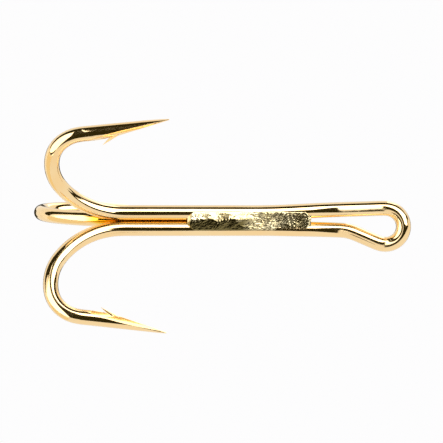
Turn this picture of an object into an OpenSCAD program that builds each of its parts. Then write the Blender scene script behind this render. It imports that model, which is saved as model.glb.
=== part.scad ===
// Treble hook: a double hook bent from one wire, whose middle is the eye loop, and a single
// hook brazed into the groove behind its two shanks. +Z runs up the shanks to the eye, the
// origin is the centre of the eye, and the single hook points towards +Y.

/* [Wire] */
// Diameter of the round steel wire
wire_d = 1.05; // [0.95:0.05:1.05]
// Gap between the two front shanks
front_gap = 0.06; // [0.05:0.01:0.15]
// Gap between the rear shank and each front shank, filled with braze
rear_gap = 0.04; // [0.03:0.01:0.08]

/* [Eye] */
// Opening of the eye, measured across the inside of the loop
eye_opening = 1.54; // [1.44:0.02:1.64]
// Lean of the eye loop out of the plane of the front shanks, away from the rear hook, in degrees
eye_tilt = 12; // [4:1:15]
// Distance from the centre of the eye down to the line where the loop leans over
fold_down = 4.26; // [4.2:0.02:4.6]
// Bend radius of both legs at the fold
fold_radius = 10; // [6:0.5:10]
// Angle at which the left leg leaves the eye, in degrees
left_leg_angle = 3; // [2.6:0.1:3]
// Angle at which the right leg leaves the eye, in degrees
right_leg_angle = 22; // [18:0.5:24]
// Distance from the centre of the eye down to the corner where the right leg turns straight
corner_down = 2.6; // [2.5:0.02:2.66]
// Bend radius of that corner
corner_radius = 2.4; // [1.5:0.1:2.4]
// Distance from the fold down to where the right leg runs into its shank
right_merge = 4.1; // [3.6:0.1:5]
// Bend radius where each leg runs into its shank
merge_radius = 50; // [30:5:60]

/* [Hooks] */
// Length of the front shanks from the fold down to the bend
shank_length = 14.4; // [13:0.2:17]
// Radius and angle of the first, widest part of the bend
throat_radius = 5.7; // [5:0.1:6.5]
throat_angle = 54; // [48:1:58]
// Radius and angle of the middle part of the bend
heel_radius = 3.4; // [3:0.1:4]
heel_angle = 44; // [38:1:50]
// Radius and angle of the last, tightest part of the bend
upturn_radius = 2.15; // [1.8:0.05:2.6]
upturn_angle = 75; // [70:1:80]
// Straight wire between the bend and the root of the barb
barb_reach = 2.2; // [1.6:0.1:3]
// Length of the point, from the root of the barb to the tip
point_length = 3.9; // [3.2:0.1:4.6]
// Thickness that the flats leave at the very tip
tip_thickness = 0.06; // [0.04:0.01:0.1]
// Height of each barb's tip above the wire: left, right and rear hook
left_barb_lift = 0.55; // [0.3:0.05:0.6]
right_barb_lift = 0.36; // [0.3:0.02:0.6]
rear_barb_lift = 0.45; // [0.3:0.05:0.6]

/* [Braze] */
// Distance from the fold down to the upper end of the braze
braze_top = 1.1; // [1.1:0.1:1.6]
// Length of the braze along the shanks
braze_length = 8.8; // [7:0.2:9.6]
// Height of the braze's front face above the crowns of the front wires
front_face_rise = 0.04; // [0.03:0.01:0.06]
// How far the front face runs past the crown of each front wire
crown_overlap = 0.12; // [0.08:0.02:0.16]
// How far the two rear fillets bulge out from the line between the wire centres
rear_bulge = 0.38; // [0.3:0.01:0.42]

/* [Hidden] */
$fn = 96;
// Steps in a full turn of a bend, fine enough for the widest bend to stay round
bend_steps = 360;

wire_r = wire_d / 2;
eye_r = (eye_opening + wire_d) / 2;

// Places of the shanks across the hook, and of the fold and the bend along it
shank_spacing = wire_d + front_gap;
shank_axis_x = -0.32;
left_x = shank_axis_x - shank_spacing / 2;
right_x = shank_axis_x + shank_spacing / 2;
front_y = fold_down * sin(eye_tilt);
rear_y = front_y + sqrt(pow(wire_d + rear_gap, 2) - pow(shank_spacing / 2, 2));
fold_z = -fold_down * cos(eye_tilt);
bend_z = fold_z - shank_length;

// Directions in which the three hooks point, 120 degrees apart
left_azimuth = 210;
right_azimuth = 330;
rear_azimuth = 90;

braze_top_z = fold_z - braze_top;
braze_bottom_z = braze_top_z - braze_length;
rear_end_z = braze_top_z + 0.1;

// Points of the eye loop's plane and of the front shanks' plane
function eye_plane(x, down) = [x, down * sin(eye_tilt), -down * cos(eye_tilt)];
function shank_plane(x, below_fold) = [x, front_y, fold_z - below_fold];

// Corners of the left leg, from the eye down to the bend
left_start = [-eye_r * cos(left_leg_angle), eye_r * sin(left_leg_angle)];
left_fold_x = left_start[0] + tan(left_leg_angle) * (fold_down - left_start[1]);
left_merge = (left_x - left_fold_x) / tan(left_leg_angle);
left_corners = [
    eye_plane(left_start[0], left_start[1]),
    eye_plane(left_fold_x, fold_down),
    shank_plane(left_x, left_merge),
    shank_plane(left_x, shank_length)
];
left_radii = [0, fold_radius, merge_radius, 0];

// Corners of the right leg, which turns once more where the loop closes on the shanks
right_start = [eye_r * cos(right_leg_angle), eye_r * sin(right_leg_angle)];
right_corner_x = right_start[0] - tan(right_leg_angle) * (corner_down - right_start[1]);
right_slope = (right_x - right_corner_x) / (fold_down - corner_down + right_merge);
right_fold_x = right_corner_x + right_slope * (fold_down - corner_down);
right_corners = [
    eye_plane(right_start[0], right_start[1]),
    eye_plane(right_corner_x, corner_down),
    eye_plane(right_fold_x, fold_down),
    shank_plane(right_x, right_merge),
    shank_plane(right_x, shank_length)
];
right_radii = [0, corner_radius, fold_radius, merge_radius, 0];

function unit(v) = v / norm(v);
function heading(points, i) = unit(points[i + 1] - points[i]);
function is_end(points, i) = i == 0 || i == len(points) - 1;
function turn(points, i) =
    is_end(points, i) ? 0 : acos(heading(points, i - 1) * heading(points, i));
// Length from a corner to where its bend begins
function corner_cut(points, radii, i) = radii[i] * tan(turn(points, i) / 2);

// Places its children with their Z along z_dir and their X along x_dir
module aligned(place, x_dir, z_dir) {
    y_dir = cross(z_dir, x_dir);
    multmatrix([
        [x_dir[0], y_dir[0], z_dir[0], place[0]],
        [x_dir[1], y_dir[1], z_dir[1], place[1]],
        [x_dir[2], y_dir[2], z_dir[2], place[2]],
        [0, 0, 0, 1]
    ])
        children();
}

// Where two stretches of wire meet, one of them runs a little way into the other, and is thinner
// by so little that only its end disappears inside
lap = 0.04;
lapped_d = 0.99 * wire_d;
function lap_angle(radius) = lap / radius * 180 / PI;

// Round bend that starts at the origin along +Z and turns towards +X
module bend(radius, angle) {
    translate([radius, 0, 0])
        rotate([90, 0, 180])
            rotate_extrude(angle = angle, $fn = bend_steps)
                translate([radius, 0])
                    circle(d = wire_d);
}

// The same bend, lapped into the stretches before and after it
module lapped_bend(radius, angle) {
    translate([radius, 0, 0])
        rotate([90, 0, 180])
            rotate([0, 0, -lap_angle(radius)])
                rotate_extrude(angle = angle + 2 * lap_angle(radius), $fn = bend_steps)
                    translate([radius, 0])
                        circle(d = lapped_d);
}

// Carries its children to the end of such a bend
module after_bend(radius, angle) {
    translate([radius, 0, 0])
        rotate([0, angle, 0])
            translate([-radius, 0, 0])
                children();
}

// Straight wire between two corners, less what their bends take up
module leg_straight(points, radii, i) {
    direction = heading(points, i);
    from = points[i] + direction * corner_cut(points, radii, i);
    to = points[i + 1] - direction * corner_cut(points, radii, i + 1);
    sideways = unit(cross(direction, [0, 1, 0.5]));
    aligned(from, sideways, direction)
        cylinder(d = wire_d, h = norm(to - from));
}

// Bend that rounds one corner of a leg
module leg_bend(points, radii, i) {
    incoming = heading(points, i - 1);
    outgoing = heading(points, i);
    inward = unit(outgoing - incoming * (outgoing * incoming));
    aligned(points[i] - incoming * corner_cut(points, radii, i), inward, incoming)
        lapped_bend(radii[i], turn(points, i));
}

// Wire through a chain of corners, each rounded to its own bend radius
module leg(points, radii) {
    for (i = [0:len(points) - 2]) leg_straight(points, radii, i);
    for (i = [1:len(points) - 2]) leg_bend(points, radii, i);
}

module eye_loop() {
    lapped_turn = 180 + left_leg_angle + right_leg_angle + 2 * lap_angle(eye_r);
    rotate([90 + eye_tilt, 0, 0])
        rotate([0, 0, -right_leg_angle - lap_angle(eye_r)])
            rotate_extrude(angle = lapped_turn, $fn = bend_steps)
                translate([eye_r, 0])
                    circle(d = lapped_d);
}

// The point is the plain wire with two long flats ground on its inner side. They meet in a ridge,
// which runs from ridge_top above the wire's centre at the root of the barb down to the tip.
ridge_half_angle = 35;
ridge_top = 0.49 * wire_d;
ridge_slope = (ridge_top + wire_r - tip_thickness) / point_length;

module point_flat(side) {
    translate([ridge_top, 0, 0])
        rotate([0, -atan(ridge_slope), 0])
            rotate([0, 0, side * (90 - ridge_half_angle)])
                translate([0, -2 * wire_d, -3 * wire_d])
                    cube([2 * wire_d, 4 * wire_d, point_length + 5 * wire_d]);
}

// Sloping cut in front of the barb, from which the barb was lifted
notch_length = 0.9;
notch_depth = 0.12;
notch_run_out = 0.3;

module barb_notch() {
    rotate([90, 0, 0])
        linear_extrude(height = 2 * wire_d, center = true)
            polygon([
                [wire_r - notch_depth, 0], [wire_d, 0], [wire_d, -notch_length - notch_run_out],
                [wire_r + notch_depth * notch_run_out / notch_length, -notch_length - notch_run_out]
            ]);
}

// Barb: a sliver with a sharp back that leans away from the tip. Its root is sunk in the ridge.
barb_length = 0.78;
barb_join = 0.3;
barb_root_depth = 0.25;
barb_root_x = 0.2;
barb_root_s = 0.05;
barb_root_width = 0.32;
barb_edge = 0.03;

module barb(lift) {
    tip_x = wire_r + lift;
    join_x = ridge_top - ridge_slope * barb_join;
    back_slope = (tip_x - join_x) / (barb_length + barb_join);
    back_x = join_x - back_slope * barb_root_depth;
    back_s = barb_join + barb_root_depth;
    polyhedron(
        points = [
            [tip_x, barb_edge / 3, -barb_length], [tip_x, -barb_edge / 3, -barb_length],
            [back_x, barb_edge / 2, back_s], [back_x, -barb_edge / 2, back_s],
            [barb_root_x, barb_root_width / 2, barb_root_s],
            [barb_root_x, -barb_root_width / 2, barb_root_s]
        ],
        faces = [[0, 1, 3, 2], [1, 0, 4, 5], [2, 3, 5, 4], [0, 2, 4], [1, 5, 3]]
    );
}

// Straight end of a hook with its barb and point, along +Z, with the inner side at +X
module hook_end(lift) {
    difference() {
        cylinder(d = wire_d, h = barb_reach + point_length);
        translate([0, 0, barb_reach]) {
            point_flat(1);
            point_flat(-1);
            barb_notch();
        }
    }
    translate([0, 0, barb_reach]) barb(lift);
}

// Hook: bend, straight end, barb and point, along +Z and then out towards +X
module hook(lift) {
    lapped_bend(throat_radius, throat_angle);
    after_bend(throat_radius, throat_angle) {
        bend(heel_radius, heel_angle);
        after_bend(heel_radius, heel_angle) {
            lapped_bend(upturn_radius, upturn_angle);
            after_bend(upturn_radius, upturn_angle) hook_end(lift);
        }
    }
}

// Puts a hook under its shank, pointing down and out
module under_shank(x, y, azimuth) {
    translate([x, y, bend_z])
        rotate([0, 0, azimuth])
            rotate([180, 0, 0])
                children();
}

// One wire: left hook, shank, eye loop, shank and right hook
module double_hook_wire() {
    color("gold") {
        eye_loop();
        leg(left_corners, left_radii);
        leg(right_corners, right_radii);
        under_shank(left_x, front_y, left_azimuth) hook(left_barb_lift);
        under_shank(right_x, front_y, right_azimuth) hook(right_barb_lift);
    }
}

module rear_shank() {
    translate([shank_axis_x, rear_y, bend_z])
        cylinder(d = wire_d, h = rear_end_z - bend_z);
}

module rear_hook_wire() {
    color("goldenrod") {
        rear_shank();
        under_shank(shank_axis_x, rear_y, rear_azimuth) hook(rear_barb_lift);
    }
}

// Takes the room of the three wires out of its children, one wire after another
module between_wires() {
    difference() {
        difference() {
            difference() {
                children();
                leg(left_corners, left_radii);
            }
            leg(right_corners, right_radii);
        }
        rear_shank();
    }
}

left_centre = [left_x, front_y];
right_centre = [right_x, front_y];
rear_centre = [shank_axis_x, rear_y];
front_reach = wire_r + front_face_rise;

// Upright prism over a plan outline, as long as the braze
module braze_prism() {
    translate([0, 0, braze_bottom_z])
        linear_extrude(height = braze_length)
            children();
}

// Block with rounded upper and lower ends. It is a little wider than the front of the braze, so
// that its sides stay clear of the face.
end_clearance = 0.012;

module round_ended_block() {
    end_radius = shank_spacing / 2 + crown_overlap + end_clearance;
    block_length = braze_length - 2 * end_radius;
    translate([shank_axis_x, front_y - wire_d, braze_bottom_z + end_radius]) {
        translate([-wire_d, 0, 0]) cube([2 * wire_d, 3 * wire_d, block_length]);
        for (z = [0, block_length])
            translate([0, 0, z])
                rotate([-90, 0, 0])
                    cylinder(r = end_radius, h = 3 * wire_d);
    }
}

// Fills the middle between the wires and the groove in front of them, and thinly covers the
// crowns of the front wires. Both ends are rounded.
module front_braze_fillet() {
    color("palegoldenrod")
        between_wires()
            intersection() {
                braze_prism()
                    polygon([
                        left_centre - [crown_overlap, front_reach],
                        right_centre - [-crown_overlap, front_reach],
                        right_centre, rear_centre, left_centre
                    ]);
                round_ended_block();
            }
}

// Fills one rear groove, from the line between two wire centres outwards
module rear_fillet(front_centre) {
    along = rear_centre - front_centre;
    outward = (front_centre[0] < shank_axis_x ? 1 : -1) * unit([-along[1], along[0]]);
    between_wires()
        braze_prism()
            polygon([
                front_centre, rear_centre,
                rear_centre + outward * rear_bulge, front_centre + outward * rear_bulge
            ]);
}

module left_braze_fillet() {
    color("khaki") rear_fillet(left_centre);
}

module right_braze_fillet() {
    color("darkkhaki") rear_fillet(right_centre);
}

double_hook_wire();
rear_hook_wire();
front_braze_fillet();
left_braze_fillet();
right_braze_fillet();
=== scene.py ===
"""Looks of the gold-plated treble hook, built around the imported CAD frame.

The two wires are swept again along the CAD's own centrelines, with finer rings and rounded
edges, and the braze is a solid with a crystalline surface. +Z runs up the shanks to the eye.
"""
import math

import bmesh
import bpy
import numpy as np
from mathutils import Matrix, Vector, noise


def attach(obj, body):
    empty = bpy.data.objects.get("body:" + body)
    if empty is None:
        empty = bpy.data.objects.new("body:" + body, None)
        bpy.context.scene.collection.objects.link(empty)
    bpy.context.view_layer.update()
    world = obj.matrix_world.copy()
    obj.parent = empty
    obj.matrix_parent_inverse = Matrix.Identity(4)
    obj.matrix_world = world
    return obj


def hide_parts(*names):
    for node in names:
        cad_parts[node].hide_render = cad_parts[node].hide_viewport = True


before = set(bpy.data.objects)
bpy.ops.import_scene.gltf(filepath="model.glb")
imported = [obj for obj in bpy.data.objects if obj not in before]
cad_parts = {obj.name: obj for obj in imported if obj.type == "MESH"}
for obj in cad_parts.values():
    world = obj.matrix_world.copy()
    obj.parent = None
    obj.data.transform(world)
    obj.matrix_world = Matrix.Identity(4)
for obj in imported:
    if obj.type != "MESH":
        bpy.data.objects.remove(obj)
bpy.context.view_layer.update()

MM = 0.001
WIRE_R = 0.525

# The CAD's own dimensions, in millimetres. A hook's bends are radii and degrees, and its azimuth
# is in degrees.
EYE_R = 1.295
EYE_TILT = math.radians(12)
FOLD_DOWN = 4.26
FOLD_RADIUS = 10.0
LEFT_LEG_ANGLE = math.radians(3)
RIGHT_LEG_ANGLE = math.radians(22)
CORNER_DOWN = 2.6
CORNER_RADIUS = 2.4
RIGHT_MERGE = 4.1
MERGE_RADIUS = 50.0
SHANK_LENGTH = 14.4
SHANK_SPACING = 1.11
REAR_DISTANCE = 1.09
SHANK_AXIS_X = -0.32
HOOK_BENDS = [(5.7, 54), (3.4, 44), (2.15, 75)]
LEFT_AZIMUTH, REAR_AZIMUTH, RIGHT_AZIMUTH = 210, 90, 330
BARB_REACH = 2.2
POINT_LENGTH = 3.9
LEFT_LIFT, RIGHT_LIFT, REAR_LIFT = 0.55, 0.36, 0.45
BRAZE_TOP = 1.1
BRAZE_LENGTH = 8.8
REAR_END_ABOVE_BRAZE = 0.1

LEFT_X = SHANK_AXIS_X - SHANK_SPACING / 2
RIGHT_X = SHANK_AXIS_X + SHANK_SPACING / 2
FRONT_Y = FOLD_DOWN * math.sin(EYE_TILT)
REAR_Y = FRONT_Y + math.sqrt(REAR_DISTANCE ** 2 - (SHANK_SPACING / 2) ** 2)
FOLD_Z = -FOLD_DOWN * math.cos(EYE_TILT)
BEND_Z = FOLD_Z - SHANK_LENGTH
BRAZE_TOP_Z = FOLD_Z - BRAZE_TOP
BRAZE_BOTTOM_Z = BRAZE_TOP_Z - BRAZE_LENGTH
REAR_END_Z = BRAZE_TOP_Z + REAR_END_ABOVE_BRAZE

# Fineness of the meshes
RING_SIDES = 64
RING_STEP = 0.1
PATH_STEP = 0.02

# Length over which a change of curvature is eased
EASE_LENGTH = 0.22


def unit(v):
    """The vector at a length of 1."""
    return v / np.linalg.norm(v)


# ---------------------------------------------------------------- centrelines

def eye_plane(x, down):
    """Point of the leaning eye loop's plane."""
    return np.array([x, down * math.sin(EYE_TILT), -down * math.cos(EYE_TILT)])


def shank_plane(x, below_fold):
    """Point of the plane that holds the two front shanks' centrelines."""
    return np.array([x, FRONT_Y, FOLD_Z - below_fold])


def straight_points(start, end):
    """Points PATH_STEP apart from start towards end, without end."""
    count = max(1, round(np.linalg.norm(end - start) / PATH_STEP))
    return [start + (end - start) * i / count for i in range(count)]


def arc_points(start, heading, inward, radius, angle):
    """Points round an arc that leaves start along heading and turns towards inward."""
    centre = start + inward * radius
    count = max(1, round(radius * angle / PATH_STEP))
    points = []
    for i in range(count):
        a = angle * i / count
        points.append(centre + radius * (heading * math.sin(a) - inward * math.cos(a)))
    return points


def leg_points(corners, radii):
    """Path through corners that are rounded to their radii."""
    points = []
    at = corners[0]
    for i in range(1, len(corners) - 1):
        incoming = unit(corners[i] - corners[i - 1])
        outgoing = unit(corners[i + 1] - corners[i])
        turn = math.acos(np.clip(incoming @ outgoing, -1, 1))
        cut = radii[i] * math.tan(turn / 2)
        inward = unit(outgoing - incoming * (outgoing @ incoming))
        points += straight_points(at, corners[i] - incoming * cut)
        points += arc_points(corners[i] - incoming * cut, incoming, inward, radii[i], turn)
        at = corners[i] + outgoing * cut
    return points + straight_points(at, corners[-1])


def hook_points(x, y, azimuth):
    """Path of a hook from the foot of its shank to its tip, and the frame of its straight end."""
    outward = np.array([math.cos(math.radians(azimuth)), math.sin(math.radians(azimuth)), 0.0])
    down = np.array([0.0, 0.0, -1.0])
    at, heading, inward = np.array([x, y, BEND_Z]), down, outward
    points = []
    for radius, degrees in HOOK_BENDS:
        angle = math.radians(degrees)
        points += arc_points(at, heading, inward, radius, angle)
        centre = at + inward * radius
        at = centre + radius * (heading * math.sin(angle) - inward * math.cos(angle))
        heading, inward = (heading * math.cos(angle) + inward * math.sin(angle),
                           inward * math.cos(angle) - heading * math.sin(angle))
    end = at + heading * (BARB_REACH + POINT_LENGTH)
    points += straight_points(at, end) + [end]
    return points, (at + heading * BARB_REACH, inward, heading)


def smoothed(points):
    """Eases the sudden changes of curvature, as real bent wire has none."""
    points = np.array(points)
    reach = int(4 * EASE_LENGTH / PATH_STEP)
    before = points[0] + (points[0] - points[1]) * np.arange(reach, 0, -1)[:, None]
    after = points[-1] + (points[-1] - points[-2]) * np.arange(1, reach + 1)[:, None]
    padded = np.vstack([before, points, after])
    weights = np.exp(-0.5 * (np.arange(-reach, reach + 1) * PATH_STEP / EASE_LENGTH) ** 2)
    weights /= weights.sum()
    return np.stack([np.convolve(padded[:, k], weights, "valid") for k in range(3)], axis=1)


def eye_points():
    """Arc of the eye, from the left leg over the top to the right leg."""
    sweep = math.pi + LEFT_LEG_ANGLE + RIGHT_LEG_ANGLE
    count = round(EYE_R * sweep / PATH_STEP)
    points = []
    for i in range(count):
        a = math.pi + LEFT_LEG_ANGLE - sweep * i / count
        points.append(eye_plane(EYE_R * math.cos(a), -EYE_R * math.sin(a)))
    return points


def double_hook_path():
    """Centreline of the whole double hook, from the left tip round the eye to the right tip."""
    left_start = EYE_R * np.array([-math.cos(LEFT_LEG_ANGLE), math.sin(LEFT_LEG_ANGLE)])
    left_tan = math.tan(LEFT_LEG_ANGLE)
    left_fold_x = left_start[0] + left_tan * (FOLD_DOWN - left_start[1])
    left_leg = leg_points(
        [eye_plane(*left_start), eye_plane(left_fold_x, FOLD_DOWN),
         shank_plane(LEFT_X, (LEFT_X - left_fold_x) / left_tan), shank_plane(LEFT_X, SHANK_LENGTH)],
        [0, FOLD_RADIUS, MERGE_RADIUS, 0])
    right_start = EYE_R * np.array([math.cos(RIGHT_LEG_ANGLE), math.sin(RIGHT_LEG_ANGLE)])
    corner_x = right_start[0] - math.tan(RIGHT_LEG_ANGLE) * (CORNER_DOWN - right_start[1])
    slope = (RIGHT_X - corner_x) / (FOLD_DOWN - CORNER_DOWN + RIGHT_MERGE)
    right_leg = leg_points(
        [eye_plane(*right_start), eye_plane(corner_x, CORNER_DOWN),
         eye_plane(corner_x + slope * (FOLD_DOWN - CORNER_DOWN), FOLD_DOWN),
         shank_plane(RIGHT_X, RIGHT_MERGE), shank_plane(RIGHT_X, SHANK_LENGTH)],
        [0, CORNER_RADIUS, FOLD_RADIUS, MERGE_RADIUS, 0])
    left_hook, left_end = hook_points(LEFT_X, FRONT_Y, LEFT_AZIMUTH)
    right_hook, right_end = hook_points(RIGHT_X, FRONT_Y, RIGHT_AZIMUTH)
    points = (left_leg + left_hook)[::-1] + eye_points()[1:] + right_leg + right_hook
    return smoothed(points), [left_end, right_end]


def rear_hook_path():
    """Centreline of the rear hook, from the top of its shank to its tip."""
    hook, end = hook_points(SHANK_AXIS_X, REAR_Y, REAR_AZIMUTH)
    top = np.array([SHANK_AXIS_X, REAR_Y, REAR_END_Z])
    return smoothed(straight_points(top, np.array([SHANK_AXIS_X, REAR_Y, BEND_Z])) + hook), [end]


# ---------------------------------------------------------------- meshes

def new_object(name, verts, faces):
    """Mesh object from corners in millimetres."""
    mesh = bpy.data.meshes.new(name)
    mesh.from_pydata([Vector(v) * MM for v in verts], [], faces)
    mesh.validate()
    obj = bpy.data.objects.new(name, mesh)
    bpy.context.scene.collection.objects.link(obj)
    return obj


# Direction that no wire starts along, from which the first ring is set out
RING_START = [0.0, 1.0, 0.3]


def sweep_wire(name, path):
    """Closed round wire along a path."""
    steps = np.linalg.norm(np.diff(path, axis=0), axis=1)
    length = np.concatenate([[0], np.cumsum(steps)])
    count = round(length[-1] / RING_STEP)
    at = np.linspace(0, length[-1], count + 1)
    centres = np.stack([np.interp(at, length, path[:, k]) for k in range(3)], axis=1)
    tangents = np.gradient(centres, axis=0)
    side = np.cross(tangents[0], RING_START)
    verts = []
    for centre, tangent in zip(centres, tangents):
        tangent = unit(tangent)
        side = unit(side - tangent * (side @ tangent))
        other = np.cross(tangent, side)
        for k in range(RING_SIDES):
            a = 2 * math.pi * k / RING_SIDES
            verts.append(centre + WIRE_R * (side * math.cos(a) + other * math.sin(a)))
    faces = [list(range(RING_SIDES))[::-1]]
    for i in range(count):
        for k in range(RING_SIDES):
            j = (k + 1) % RING_SIDES
            a, b = i * RING_SIDES, (i + 1) * RING_SIDES
            faces.append([a + k, a + j, b + j, b + k])
    faces.append([count * RING_SIDES + k for k in range(RING_SIDES)])
    return new_object(name, verts, faces)


def point_frame(end):
    """Matrix in metres that takes the point's own millimetres to its place on the hook."""
    origin, inward, heading = end
    across = np.cross(heading, inward)
    m = Matrix.Identity(4)
    for row in range(3):
        m[row][0], m[row][1], m[row][2] = inward[row], across[row], heading[row]
        m[row][3] = origin[row] * MM
    return m


# The ground point: two flats that meet in a ridge on the inner side
RIDGE_HALF_ANGLE = math.radians(35)
RIDGE_TOP = 0.98 * WIRE_R
TIP_THICKNESS = 0.06
RIDGE_SLOPE = (RIDGE_TOP + WIRE_R - TIP_THICKNESS) / POINT_LENGTH
NOTCH_LENGTH, NOTCH_DEPTH, NOTCH_RUN_OUT = 0.9, 0.12, 0.3

# The blocks that cut it reach past the wire on every side
FLAT_BLOCK_DEPTH, FLAT_BLOCK_HALF, FLAT_BLOCK_BACK, FLAT_BLOCK_PAST_TIP = 1.2, 1.6, 3, 1
NOTCH_BLOCK_TOP, NOTCH_BLOCK_HALF = 1.0, 1.0


def placed(obj, matrix):
    """The object with its mesh moved by a matrix."""
    obj.data.transform(matrix)
    return obj


def flat_cutter(side, matrix):
    """Block that grinds one flat."""
    box = [(x, y, z) for x in (0, FLAT_BLOCK_DEPTH) for y in (-FLAT_BLOCK_HALF, FLAT_BLOCK_HALF)
           for z in (-FLAT_BLOCK_BACK, POINT_LENGTH + FLAT_BLOCK_PAST_TIP)]
    faces = [(0, 1, 3, 2), (4, 6, 7, 5), (0, 4, 5, 1), (2, 3, 7, 6), (0, 2, 6, 4), (1, 5, 7, 3)]
    cutter = new_object("flat_cutter", box, faces)
    lean = (Matrix.Translation((RIDGE_TOP * MM, 0, 0))
            @ Matrix.Rotation(-math.atan(RIDGE_SLOPE), 4, "Y")
            @ Matrix.Rotation(side * (math.pi / 2 - RIDGE_HALF_ANGLE), 4, "Z"))
    return placed(cutter, matrix @ lean)


def notch_cutter(matrix):
    """Wedge that makes the sloping cut in front of the barb."""
    rise = NOTCH_DEPTH * NOTCH_RUN_OUT / NOTCH_LENGTH
    low = -NOTCH_LENGTH - NOTCH_RUN_OUT
    outline = [(WIRE_R - NOTCH_DEPTH, 0), (NOTCH_BLOCK_TOP, 0), (NOTCH_BLOCK_TOP, low),
               (WIRE_R + rise, low)]
    verts = [(x, y, z) for y in (-NOTCH_BLOCK_HALF, NOTCH_BLOCK_HALF) for x, z in outline]
    faces = [(0, 1, 2, 3), (7, 6, 5, 4), (0, 4, 5, 1), (1, 5, 6, 2), (2, 6, 7, 3), (3, 7, 4, 0)]
    return placed(new_object("notch_cutter", verts, faces), matrix)


# The barb, as inward distances and places along the point
BARB_LENGTH, BARB_JOIN = 0.78, 0.3
BARB_FOOT = np.array([0.2, 0.05])
BARB_SINK = 0.25
BARB_HOLLOW = np.array([-0.02, 0.03])
BARB_ROWS, BARB_SIDES = 9, 6
BARB_HALF_WIDTH, BARB_TIP_HALF, BARB_TAPER = 0.19, 0.008, 0.85
BARB_EDGE_HALF = 0.012
BARB_MIDDLE_WIDTH, BARB_MIDDLE_HEIGHT = 0.72, 0.55


def barb(lift, matrix):
    """Thin sliver lifted out of the ridge, leaning away from the tip."""
    tip = np.array([WIRE_R + lift, -BARB_LENGTH])
    join = np.array([RIDGE_TOP - RIDGE_SLOPE * BARB_JOIN, BARB_JOIN])
    deep = join + (join - tip) * BARB_SINK
    verts, faces = [], []
    for i in range(BARB_ROWS):
        t = i / (BARB_ROWS - 1)
        back = deep + (tip - deep) * t
        belly = BARB_FOOT + (tip - BARB_FOOT) * t + BARB_HOLLOW * math.sin(math.pi * t)
        middle = back * BARB_MIDDLE_HEIGHT + belly * (1 - BARB_MIDDLE_HEIGHT)
        half = BARB_HALF_WIDTH * (1 - t) ** BARB_TAPER + BARB_TIP_HALF
        section = [(back, BARB_EDGE_HALF), (middle, half * BARB_MIDDLE_WIDTH), (belly, half)]
        verts += [(at[0], width, at[1]) for at, width in section]
        verts += [(at[0], -width, at[1]) for at, width in section[::-1]]
    for i in range(BARB_ROWS - 1):
        for k in range(BARB_SIDES):
            j = (k + 1) % BARB_SIDES
            a, b = i * BARB_SIDES, (i + 1) * BARB_SIDES
            faces.append((a + k, a + j, b + j, b + k))
    faces.append(tuple(range(BARB_SIDES))[::-1])
    faces.append(tuple((BARB_ROWS - 1) * BARB_SIDES + k for k in range(BARB_SIDES)))
    return placed(new_object("barb", verts, faces), matrix)


def turn_faces_out(mesh):
    """Makes every face of a closed mesh look outwards."""
    bm = bmesh.new()
    bm.from_mesh(mesh)
    bmesh.ops.recalc_face_normals(bm, faces=bm.faces)
    bm.to_mesh(mesh)
    bm.free()


def combine(obj, operation, tool):
    """Applies one boolean and removes its tool."""
    turn_faces_out(tool.data)
    modifier = obj.modifiers.new("combine", "BOOLEAN")
    modifier.operation = operation
    modifier.object = tool
    modifier.solver = "EXACT"
    apply_modifiers(obj)
    bpy.data.objects.remove(tool)


def apply_modifiers(obj):
    """Replaces the mesh with what its modifiers make of it."""
    graph = bpy.context.evaluated_depsgraph_get()
    mesh = bpy.data.meshes.new_from_object(obj.evaluated_get(graph))
    obj.modifiers.clear()
    old, obj.data = obj.data, mesh
    bpy.data.meshes.remove(old)


# Rounding of the ground edges, and how sharply faces must meet to count as an edge
EDGE_ROUNDING = 0.016
ROUNDED_ANGLE = math.radians(24)
SHARP_ANGLE = math.radians(32)


def build_wire(name, node, path, ends, lifts):
    """Hook wire with a ground point and a barb at each of its ends."""
    wire = sweep_wire(name, path)
    for end, lift in zip(ends, lifts):
        matrix = point_frame(end)
        for cutter in (flat_cutter(1, matrix), flat_cutter(-1, matrix), notch_cutter(matrix)):
            combine(wire, "DIFFERENCE", cutter)
        combine(wire, "UNION", barb(lift, matrix))
    soften = wire.modifiers.new("soften", "BEVEL")
    soften.width = EDGE_ROUNDING * MM
    soften.segments = 2
    soften.limit_method = "ANGLE"
    soften.angle_limit = ROUNDED_ANGLE
    soften.use_clamp_overlap = True
    apply_modifiers(wire)
    wire.data.shade_smooth()
    wire.data.set_sharp_from_angle(angle=SHARP_ANGLE)
    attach(wire, "root")
    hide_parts(node)
    return wire


# ---------------------------------------------------------------- braze

# Sections: the front skin covers the front wires' crowns, the rear ones fill their grooves
FRONT_FACE_RISE = 0.04
CROWN_OVERLAP = 0.12
LEFT_EXTRA_OVERLAP = 0.06
FRONT_STEPS = 48
FRONT_SKIN_DEPTH = 0.03
REAR_BULGE = 0.38
REAR_HOLLOW = 0.05
REAR_MARGIN = 0.12
REAR_STEPS = 24
ROW_STEP = 0.035

# Ends and sides, where the skin sinks into the wires along a wandering rim
FRONT_END_ROUNDING, REAR_END_ROUNDING = 0.55, 0.3
RIM_INSET = 0.06
RIM_WANDER = 0.14
RIM_NOISE = (2.5, 1.7)
END_FADE, SIDE_FADE = 0.07, 0.1
SIDE_SCALE, SIDE_WANDER = 1.1, 0.6
SINK = 0.07

# Crystals: angular plates with finer needles over them, slanting up the shanks
GRAIN_SIZE = 0.2
GRAIN_HEIGHT = 0.045
GRAIN_SLANT, GRAIN_LENGTHENING = 0.35, 0.6
WARP_SCALE, WARP = 0.45, 1.1
PLATE_STEEPNESS, PLATE_SHARE = 1.6, 0.6
NEEDLE_SCALE, NEEDLE_LENGTH_SCALE = 2.4, 1.1
NEEDLE_DEPTH, NEEDLE_SHARE = 2.2, 0.55
MEAN_HEIGHT = 0.1
SEED_STEP = Vector((1.0, 2.3, 0.7))
EVEN_STRENGTH = 0.7

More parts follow.
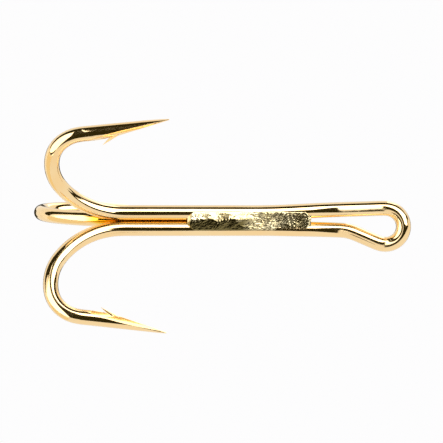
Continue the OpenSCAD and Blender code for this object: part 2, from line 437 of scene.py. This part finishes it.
# The front skin's stretches, as shares of its length, and the ridge of its lowest stretch
COARSE_STRETCH = (0.42, 0.56)
CALM_STRETCH = (0.66, 0.76)
STRETCH_WANDER, STRETCH_NOISE, STRETCH_LAYER = 0.06, (1.6, 9.0), 4.0
FRONT_SWELL = 0.15
FRONT_LEAN = 0.035
CREST, CREST_WANDER, CREST_WIDTH = -0.08, 0.22, 0.25
CREST_NOISE, CREST_LAYER = 15.0, 8.0
FAR_SIDE = (-0.3, 0.1)
SWELL_FALL, SWELL_CURVE = 0.9, 1.3
SMOOTH_STRENGTH, FAR_SIDE_STRENGTH, CREST_STRENGTH = 0.12, 0.14, 0.35
COARSE_STRENGTH, CALM_DROP = 0.9, 0.4

# Without a seed the crystals' warp would differ on every run
CRYSTAL_SEED = 6
noise.seed_set(CRYSTAL_SEED)


def crystals(point, seed):
    """Height of the frozen crystals at a point in millimetres, about -1 to 1."""
    x, y, z = point
    p = Vector((x + GRAIN_SLANT * z, y, GRAIN_LENGTHENING * z)) / GRAIN_SIZE + seed * SEED_STEP
    p += noise.noise_vector(p * WARP_SCALE) * WARP
    distance, _ = noise.voronoi(p, distance_metric="DISTANCE", exponent=2)
    plate = min(1.0, PLATE_STEEPNESS * (distance[1] - distance[0]))
    fine = Vector((p.x * NEEDLE_SCALE, p.y * NEEDLE_SCALE, p.z * NEEDLE_LENGTH_SCALE))
    needles = 1 - NEEDLE_DEPTH * abs(noise.noise(fine))
    return PLATE_SHARE * (plate - 0.5) + NEEDLE_SHARE * needles - MEAN_HEIGHT


def clamped(value):
    """The value, kept between 0 and 1."""
    return max(0.0, min(1.0, value))


def eased(value, low, high):
    """0 below low, 1 above high and smooth between."""
    t = clamped((value - low) / (high - low))
    return t * t * (3 - 2 * t)


def front_relief(u, s):
    """Swell and crystal strength of the front skin, at u across it (-1 to 1) and s up it (0 to
    1). Near its lower end it is smooth and has a ridge. Above that it is coarse and level."""
    across, up = STRETCH_NOISE
    s += STRETCH_WANDER * noise.noise(Vector((u * across, s * up, STRETCH_LAYER)))
    coarse = eased(s, *COARSE_STRETCH)
    calm = eased(s, *CALM_STRETCH)
    crest = CREST + CREST_WANDER * noise.noise(Vector((0.5, s * CREST_NOISE, CREST_LAYER)))
    if u < crest:
        ridge = (u + 1) / (crest + 1)
    else:
        ridge = 1 - SWELL_FALL * ((u - crest) / (1 - crest)) ** SWELL_CURVE
    swell = FRONT_SWELL * ridge * (1 - coarse) - FRONT_LEAN * u * calm
    far = eased(u - crest, *FAR_SIDE)
    strength = SMOOTH_STRENGTH + FAR_SIDE_STRENGTH * far
    strength += CREST_STRENGTH * math.exp(-((u - crest) / CREST_WIDTH) ** 2)
    strength += (COARSE_STRENGTH - strength) * coarse
    return swell, strength - CALM_DROP * calm


def even_relief(u, s):
    """Swell and crystal strength of a rear skin, the same all over."""
    return 0.0, EVEN_STRENGTH


def braze_solid(name, node, profile, back, outward, ends, seed, relief):
    """Braze along the shanks. The skin follows a profile of points and is displaced outwards by
    its swell and crystals, which relief gives; back holds the hidden points that close the
    section between the wires."""
    rows = round(BRAZE_LENGTH / ROW_STEP)
    ring = len(profile) + len(back)
    middle = (len(profile) - 1) / 2
    verts, faces = [], []
    for r in range(rows + 1):
        z = BRAZE_BOTTOM_Z + BRAZE_LENGTH * r / rows
        for c, (x, y) in enumerate(profile):
            u = (c - middle) / middle
            # The ends are rounded: the skin sinks into the wires past a bullet-shaped rim
            wander = RIM_WANDER * noise.noise(Vector((u * RIM_NOISE[0], z * RIM_NOISE[1], seed)))
            rim = ends * (1 - math.sqrt(max(0.0, 1 - u * u))) + wander + RIM_INSET
            inset = min(z - BRAZE_BOTTOM_Z, BRAZE_TOP_Z - z) - rim
            side = (1 - abs(u)) * SIDE_SCALE + SIDE_WANDER * wander
            fade = clamped(inset / END_FADE) * clamped(side / SIDE_FADE)
            swell, strength = relief(u, r / rows)
            height = crystals((x, y, z), seed) * GRAIN_HEIGHT * strength + swell
            height = height * fade - SINK * (1 - fade)
            verts.append((x + outward[0] * height, y + outward[1] * height, z))
        verts += [(x, y, z) for x, y in back]
    for r in range(rows):
        for c in range(ring):
            d = (c + 1) % ring
            faces.append((r * ring + c, r * ring + d, (r + 1) * ring + d, (r + 1) * ring + c))
    faces.append(tuple(range(ring))[::-1])
    faces.append(tuple(rows * ring + c for c in range(ring)))
    obj = new_object(name, verts, faces)
    turn_faces_out(obj.data)
    obj.data.shade_smooth()
    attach(obj, "root")
    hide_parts(node)
    return obj


def front_profile():
    """Section of the front skin before its swell: level between the crowns, and thinning out
    past them."""
    left = LEFT_X - CROWN_OVERLAP - LEFT_EXTRA_OVERLAP
    right = RIGHT_X + CROWN_OVERLAP
    level = FRONT_Y - WIRE_R - FRONT_FACE_RISE + FRONT_SKIN_DEPTH
    points = []
    for i in range(FRONT_STEPS + 1):
        x = left + (right - left) * i / FRONT_STEPS
        past = max(0.0, LEFT_X - x, x - RIGHT_X)
        crown = WIRE_R - math.sqrt(WIRE_R ** 2 - past ** 2)
        points.append((x, level + crown))
    return points


def rear_profile(start, end, outward):
    """Section of a rear fillet's skin, hollow between two wires' centres."""
    points = []
    for i in range(REAR_STEPS + 1):
        u = REAR_MARGIN + (1 - 2 * REAR_MARGIN) * i / REAR_STEPS
        hollow = REAR_HOLLOW * (1 - (2 * i / REAR_STEPS - 1) ** 2)
        points.append(tuple(start + (end - start) * u + outward * (REAR_BULGE - hollow)))
    return points


# ---------------------------------------------------------------- materials

GOLD_TONES = [(0.35, (0.93, 0.655, 0.32)), (0.65, (0.93, 0.70, 0.38))]
GOLD_POLISH = [(0.3, (0.045,)), (0.75, (0.10,))]
# Painted shade: the gold is deepened to this colour in the groove between the shanks, standing in for
# shade and warm inter-reflection
GROOVE_PAINTED_SHADE_GOLD = (0.92, 0.60, 0.06, 1)
GROOVE_FROM, GROOVE_TO = 0.42, 0.74
BRAZE_TONES = [(0.35, (0.70, 0.56, 0.28)), (0.7, (0.92, 0.80, 0.50))]
BRAZE_POLISH = [(0.38, (0.14,)), (0.52, (0.25,)), (0.66, (0.25,)), (0.8, (0.15,))]
# Painted reflection: a dark tint on the braze's front, low down on the right shank's side, standing in
# for dark surroundings reflected there
PAINTED_DARK_REFLECTION = (0.19, 0.15, 0.055, 1)
PAINTED_REFLECTION_SIDE = [(0.41, (0,)), (0.5, (1,))]
PAINTED_REFLECTION_STRETCH = [(0.44, (1,)), (0.56, (0,))]
FRONT_SKIN_REACH = 0.3
BUMP_STRENGTH, BUMP_HEIGHT = 0.35, 0.02


def node_material(name):
    """New material, with its nodes, its links and its shader."""
    material = bpy.data.materials.new(name)
    material.use_nodes = True
    nodes, links = material.node_tree.nodes, material.node_tree.links
    return material, nodes, links, nodes["Principled BSDF"]


def noise_node(nodes, links, coords, scale, detail, stretch=(1, 1, 1)):
    """Value of a noise with about scale waves to the metre."""
    mapping = nodes.new("ShaderNodeMapping")
    mapping.inputs["Scale"].default_value = stretch
    texture = nodes.new("ShaderNodeTexNoise")
    texture.inputs["Scale"].default_value = scale
    texture.inputs["Detail"].default_value = detail
    links.new(coords.outputs["Object"], mapping.inputs["Vector"])
    links.new(mapping.outputs["Vector"], texture.inputs["Vector"])
    return texture.outputs["Fac"]


def ramp_node(nodes, links, value, stops):
    """Colour or grey that a value has between stops."""
    ramp = nodes.new("ShaderNodeValToRGB")
    while len(ramp.color_ramp.elements) < len(stops):
        ramp.color_ramp.elements.new(0.5)
    for element, (position, colour) in zip(ramp.color_ramp.elements, stops):
        element.position = position
        element.color = (*colour, 1) if len(colour) == 3 else (colour[0],) * 3 + (1,)
    links.new(value, ramp.inputs["Fac"])
    return ramp.outputs["Color"]


def range_node(nodes, links, value, low, high):
    """The value's place between two coordinates in millimetres, from 0 to 1."""
    node = nodes.new("ShaderNodeMapRange")
    node.inputs["From Min"].default_value = low * MM
    node.inputs["From Max"].default_value = high * MM
    links.new(value, node.inputs["Value"])
    return node.outputs["Result"]


def product_node(nodes, links, first, second):
    """Product of two values."""
    node = nodes.new("ShaderNodeMath")
    node.operation = "MULTIPLY"
    links.new(first, node.inputs[0])
    links.new(second, node.inputs[1])
    return node.outputs["Value"]


def average_node(nodes, links, first, second):
    """Average of two values."""
    node = nodes.new("ShaderNodeMix")
    node.data_type = "FLOAT"
    node.inputs["Factor"].default_value = 0.5
    links.new(first, node.inputs["A"])
    links.new(second, node.inputs["B"])
    return node.outputs["Result"]


def tint_node(nodes, links, mask, colour, tint):
    """The colour where the mask is 0 and the tint where it is 1."""
    node = nodes.new("ShaderNodeMix")
    node.data_type = "RGBA"
    node.inputs["B"].default_value = tint
    links.new(mask, node.inputs["Factor"])
    links.new(colour, node.inputs["A"])
    return node.outputs["Result"]


def finish_metal(nodes, links, shader, colour, roughness, height):
    """Connects the colour, roughness and fine relief of a metal."""
    bump = nodes.new("ShaderNodeBump")
    bump.inputs["Strength"].default_value = BUMP_STRENGTH
    bump.inputs["Distance"].default_value = BUMP_HEIGHT * MM
    links.new(height, bump.inputs["Height"])
    shader.inputs["Metallic"].default_value = 1.0
    links.new(colour, shader.inputs["Base Color"])
    links.new(roughness, shader.inputs["Roughness"])
    links.new(bump.outputs["Normal"], shader.inputs["Normal"])


def groove_painted_shade_mask(nodes, links, coords):
    """Painted shade: 1 deep in the groove between the three shanks and 0 on their outer sides."""
    split = nodes.new("ShaderNodeSeparateXYZ")
    links.new(coords.outputs["Object"], split.inputs["Vector"])
    join = nodes.new("ShaderNodeCombineXYZ")
    links.new(split.outputs["X"], join.inputs["X"])
    links.new(split.outputs["Y"], join.inputs["Y"])
    distance = nodes.new("ShaderNodeVectorMath")
    distance.operation = "DISTANCE"
    middle_y = FRONT_Y + (REAR_Y - FRONT_Y) / 3
    distance.inputs[1].default_value = (SHANK_AXIS_X * MM, middle_y * MM, 0)
    links.new(join.outputs["Vector"], distance.inputs[0])
    mask = nodes.new("ShaderNodeMapRange")
    mask.interpolation_type = "SMOOTHSTEP"
    mask.inputs["From Min"].default_value = GROOVE_FROM * MM
    mask.inputs["From Max"].default_value = GROOVE_TO * MM
    mask.inputs["To Min"].default_value = 1.0
    mask.inputs["To Max"].default_value = 0.0
    links.new(distance.outputs["Value"], mask.inputs["Value"])
    return mask.outputs["Result"]


def gold_plate():
    """Bright gold plating over drawn steel wire: faint waviness, uneven polish, and a deeper
    gold painted in the groove between the shanks, standing in for shade and warm inter-reflection."""
    material, nodes, links, shader = node_material("gold_plate")
    coords = nodes.new("ShaderNodeTexCoord")
    tone = ramp_node(nodes, links, noise_node(nodes, links, coords, scale=420, detail=2.0), GOLD_TONES)
    # The groove's deeper gold is painted shade and warm inter-reflection
    colour = tint_node(nodes, links, groove_painted_shade_mask(nodes, links, coords), tone, GROOVE_PAINTED_SHADE_GOLD)
    polish = ramp_node(nodes, links, noise_node(nodes, links, coords, scale=900, detail=4.0), GOLD_POLISH)
    waves = noise_node(nodes, links, coords, scale=1300, detail=3.0, stretch=(1, 1, 0.35))
    finish_metal(nodes, links, shader, colour, polish, waves)
    return material


def crystal_braze():
    """Plated braze with a rough, pale gold skin. It is matt about halfway up, and the front of
    it is painted darker low down on the right shank's side, a painted reflection of dark surroundings."""
    material, nodes, links, shader = node_material("crystal_braze")
    coords = nodes.new("ShaderNodeTexCoord")
    split = nodes.new("ShaderNodeSeparateXYZ")
    links.new(coords.outputs["Object"], split.inputs["Vector"])
    across = range_node(nodes, links, split.outputs["X"], LEFT_X, RIGHT_X)
    front = range_node(nodes, links, split.outputs["Y"], FRONT_Y + FRONT_SKIN_REACH, FRONT_Y)
    height = range_node(nodes, links, split.outputs["Z"], BRAZE_BOTTOM_Z, BRAZE_TOP_Z)
    ragged = noise_node(nodes, links, coords, scale=2200, detail=6.0)
    side = ramp_node(nodes, links, average_node(nodes, links, across, ragged), PAINTED_REFLECTION_SIDE)
    low = ramp_node(nodes, links, height, PAINTED_REFLECTION_STRETCH)
    dark = product_node(nodes, links, product_node(nodes, links, side, low), front)
    tone = ramp_node(nodes, links, noise_node(nodes, links, coords, scale=1500, detail=4.0), BRAZE_TONES)
    # The dark tint is a painted reflection of dark surroundings
    colour = tint_node(nodes, links, dark, tone, PAINTED_DARK_REFLECTION)
    polish = ramp_node(nodes, links, height, BRAZE_POLISH)
    grain = noise_node(nodes, links, coords, scale=14000, detail=6.0)
    finish_metal(nodes, links, shader, colour, polish, grain)
    return material


# ---------------------------------------------------------------- camera and studio

# Angles about the upright axis and above the level, seen from the front of the hook
CAMERA_AZIMUTH = math.radians(-6.11)
CAMERA_RISE = math.radians(-8.6)
CAMERA_DISTANCE = 211.3
CAMERA_AIM = Vector((-0.255, FRONT_Y, -11.594))
LENS = 243.8
SENSOR_WIDTH = 36

CARD_ROWS, CARD_COLUMNS = 12, 12
FLOOR_Z = -600.0
FLOOR_HALF = 3000
FLOOR_COLOUR = (0.98, 0.98, 0.98, 1)
BACKGROUND_COLOUR = (0.983, 0.98, 0.985, 1)
WARM_WHITE = (1, 0.98, 0.93)
WARM = (1, 0.88, 0.62)


def make_camera():
    """Camera turned on its side, so that the shanks lie level with the eye to the right.
    Returns the picture's right and up directions and the direction back to the camera."""
    back = Vector((math.sin(CAMERA_AZIMUTH) * math.cos(CAMERA_RISE),
                   -math.cos(CAMERA_AZIMUTH) * math.cos(CAMERA_RISE), math.sin(CAMERA_RISE)))
    up = back.cross(Vector((0, 0, 1))).normalized()
    right = up.cross(back)
    data = bpy.data.cameras.new("camera")
    data.lens = LENS
    data.sensor_width = SENSOR_WIDTH
    data.clip_start, data.clip_end = 0.005, 20
    camera = bpy.data.objects.new("camera", data)
    bpy.context.scene.collection.objects.link(camera)
    place = Matrix((right, up, back)).transposed().to_4x4()
    place.translation = (CAMERA_AIM + back * CAMERA_DISTANCE) * MM
    camera.matrix_world = place
    bpy.context.scene.camera = camera
    return right, up, back


def studio_direction(axes, rise, turn):
    """Direction from the hook: rise degrees from the camera towards the picture's top, then turn
    degrees towards its right."""
    right, up, back = axes
    rise, turn = math.radians(rise), math.radians(turn)
    return (back * math.cos(rise) + up * math.sin(rise)) * math.cos(turn) + right * math.sin(turn)


def card(name, axes, rises, turns, distance, strength, seen_from=-11.0, colour=(1, 1, 1)):
    """Card or softbox that a spot of the shanks at height seen_from sees between these rises and
    turns. The rises are given at the left edge and at the right edge. Strength 0 is black."""
    spot = Vector((SHANK_AXIS_X, FRONT_Y, seen_from))
    verts, faces = [], []
    for i in range(CARD_ROWS + 1):
        for j in range(CARD_COLUMNS + 1):
            t = j / CARD_COLUMNS
            low = rises[0][0] + (rises[1][0] - rises[0][0]) * t
            high = rises[0][1] + (rises[1][1] - rises[0][1]) * t
            rise = low + (high - low) * i / CARD_ROWS
            turn = turns[0] + (turns[1] - turns[0]) * t
            verts.append(spot + studio_direction(axes, rise, turn) * distance)
    row = CARD_COLUMNS + 1
    for i in range(CARD_ROWS):
        for j in range(CARD_COLUMNS):
            k = i * row + j
            faces.append((k, k + 1, k + row + 1, k + row))
    sheet = new_object(name, verts, faces)
    material, _, _, shader = node_material(name)
    shader.inputs["Base Color"].default_value = (0, 0, 0, 1)
    shader.inputs["Roughness"].default_value = 1.0
    shader.inputs["Specular IOR Level"].default_value = 0.0
    shader.inputs["Emission Color"].default_value = (*colour, 1)
    shader.inputs["Emission Strength"].default_value = strength
    sheet.data.materials.append(material)
    sheet.visible_camera = False
    sheet.visible_shadow = False


def make_world():
    """Even, nearly white surroundings."""
    scene = bpy.context.scene
    world = bpy.data.worlds.new("studio")
    world.use_nodes = True
    background = world.node_tree.nodes["Background"]
    background.inputs["Color"].default_value = BACKGROUND_COLOUR
    background.inputs["Strength"].default_value = 1.0
    scene.world = world
    scene.view_settings.view_transform = "Standard"


def make_floor():
    """Pale floor far below the hook."""
    corners = [(-FLOOR_HALF, -FLOOR_HALF, FLOOR_Z), (FLOOR_HALF, -FLOOR_HALF, FLOOR_Z),
               (FLOOR_HALF, FLOOR_HALF, FLOOR_Z), (-FLOOR_HALF, FLOOR_HALF, FLOOR_Z)]
    floor = new_object("floor", corners, [(0, 1, 2, 3)])
    material, _, _, shader = node_material("floor_paint")
    shader.inputs["Base Color"].default_value = FLOOR_COLOUR
    shader.inputs["Roughness"].default_value = 0.9
    floor.data.materials.append(material)


def make_cards(axes):
    """Softboxes round the hook, and black cards between them and in front of them. The wire is
    nearly a mirror, so each card is one bright or dark band along it."""
    card("softbox_right", axes, ((16, 58), (16, 58)), (-9, 62), 400, 3.5)
    card("softbox_right_low", axes, ((-8, 16), (-8, 16)), (20, 62), 400, 3.5)
    card("softbox_left", axes, ((-50, 45), (-58, 50)), (-80, -20), 400, 2.6, colour=WARM_WHITE)
    card("white_left", axes, ((-8, 58), (-8, 58)), (-20, -2), 410, 2.5)
    card("softbox_top", axes, ((97, 150), (97, 150)), (8, 27), 400, 2.2)
    card("warm_left_low", axes, ((-125, -58), (-125, -58)), (-88, -25), 390, 0.97, colour=WARM)
    card("gap_strip", axes, ((60, 65), (28, 33)), (-3, 3), 48, 3.0, seen_from=-21)
    black = {"strength": 0.03, "colour": (1, 0.85, 0.25)}
    card("black_camera", axes, ((-48, 38), (-32, 11)), (-3, 20), 260, seen_from=-4.5, **black)
    card("black_near", axes, ((-45, 76), (-45, 76)), (-16, 10), 50, seen_from=-21, **black)
    card("black_right_low", axes, ((-32, -8), (-26, -8)), (20, 66), 300, **black)
    card("black_top", axes, ((60, 98), (60, 98)), (-30, 66), 380, **black)
    card("black_right_side", axes, ((-24, 125), (-24, 125)), (64, 77), 200, **black)
    card("black_left_top", axes, ((92, 146), (47, 92)), (-88, -20), 380, **black)
    card("black_back", axes, ((166, 194), (166, 194)), (-36, 36), 380, **black)
    card("black_left_low", axes, ((-55, -48), (-55, -48)), (-88, -20), 380, **black)


# ---------------------------------------------------------------- build

# Where the braze's hidden corners lie inside the wires
CORNER_IN_FRONT_WIRE, CORNER_BEHIND_FRONT_WIRE = 0.05, 0.1
CORNER_BESIDE_REAR_AXIS, CORNER_BEFORE_REAR_AXIS = 0.1, 0.05
CORE_IN_FRONT_WIRE, CORE_BEFORE_REAR_AXIS, CORE_HALF_WIDTH = 0.1, 0.1, 0.02

# Each braze piece takes another part of the same noise
FRONT_SEED, LEFT_SEED, RIGHT_SEED = 3.0, 11.0, 19.0


def make_double_hook():
    """Wire whose middle is the eye and whose ends are the two front hooks."""
    path, ends = double_hook_path()
    return build_wire("double_hook", "double_hook_wire", path, ends, [LEFT_LIFT, RIGHT_LIFT])


def make_rear_hook():
    """Wire of the single hook behind."""
    path, ends = rear_hook_path()
    return build_wire("rear_hook", "rear_hook_wire", path, ends, [REAR_LIFT])


def make_front_braze():
    """Braze over the two front wires, with the core between all three."""
    core_y = REAR_Y - CORE_BEFORE_REAR_AXIS
    back = [(RIGHT_X - CORE_IN_FRONT_WIRE, FRONT_Y), (SHANK_AXIS_X + CORE_HALF_WIDTH, core_y),
            (SHANK_AXIS_X - CORE_HALF_WIDTH, core_y), (LEFT_X + CORE_IN_FRONT_WIRE, FRONT_Y)]
    return braze_solid("front_braze", "front_braze_fillet", front_profile(), back, (0, -1),
                       FRONT_END_ROUNDING, FRONT_SEED, front_relief)


def make_rear_braze(name, node, side, seed):
    """Braze in the groove between the rear shank and a front one, on side -1 left or 1 right."""
    front = np.array([SHANK_AXIS_X + side * SHANK_SPACING / 2, FRONT_Y])
    rear = np.array([SHANK_AXIS_X, REAR_Y])
    along = unit(rear - front)
    outward = np.array([side * along[1], -side * along[0]])
    back = [(rear[0] + side * CORNER_BESIDE_REAR_AXIS, REAR_Y - CORNER_BEFORE_REAR_AXIS),
            (front[0] - side * CORNER_IN_FRONT_WIRE, FRONT_Y + CORNER_BEHIND_FRONT_WIRE)]
    return braze_solid(name, node, rear_profile(front, rear, outward), back, outward,
                       REAR_END_ROUNDING, seed, even_relief)


axes = make_camera()
make_world()
make_floor()
make_cards(axes)

gold = gold_plate()
braze = crystal_braze()
wires = [make_double_hook(), make_rear_hook()]
for wire in wires:
    wire.data.materials.clear()
    wire.data.materials.append(gold)
fillets = [make_front_braze(), make_rear_braze("left_braze", "left_braze_fillet", -1, LEFT_SEED),
           make_rear_braze("right_braze", "right_braze_fillet", 1, RIGHT_SEED)]
for fillet in fillets:
    fillet.data.materials.append(braze)
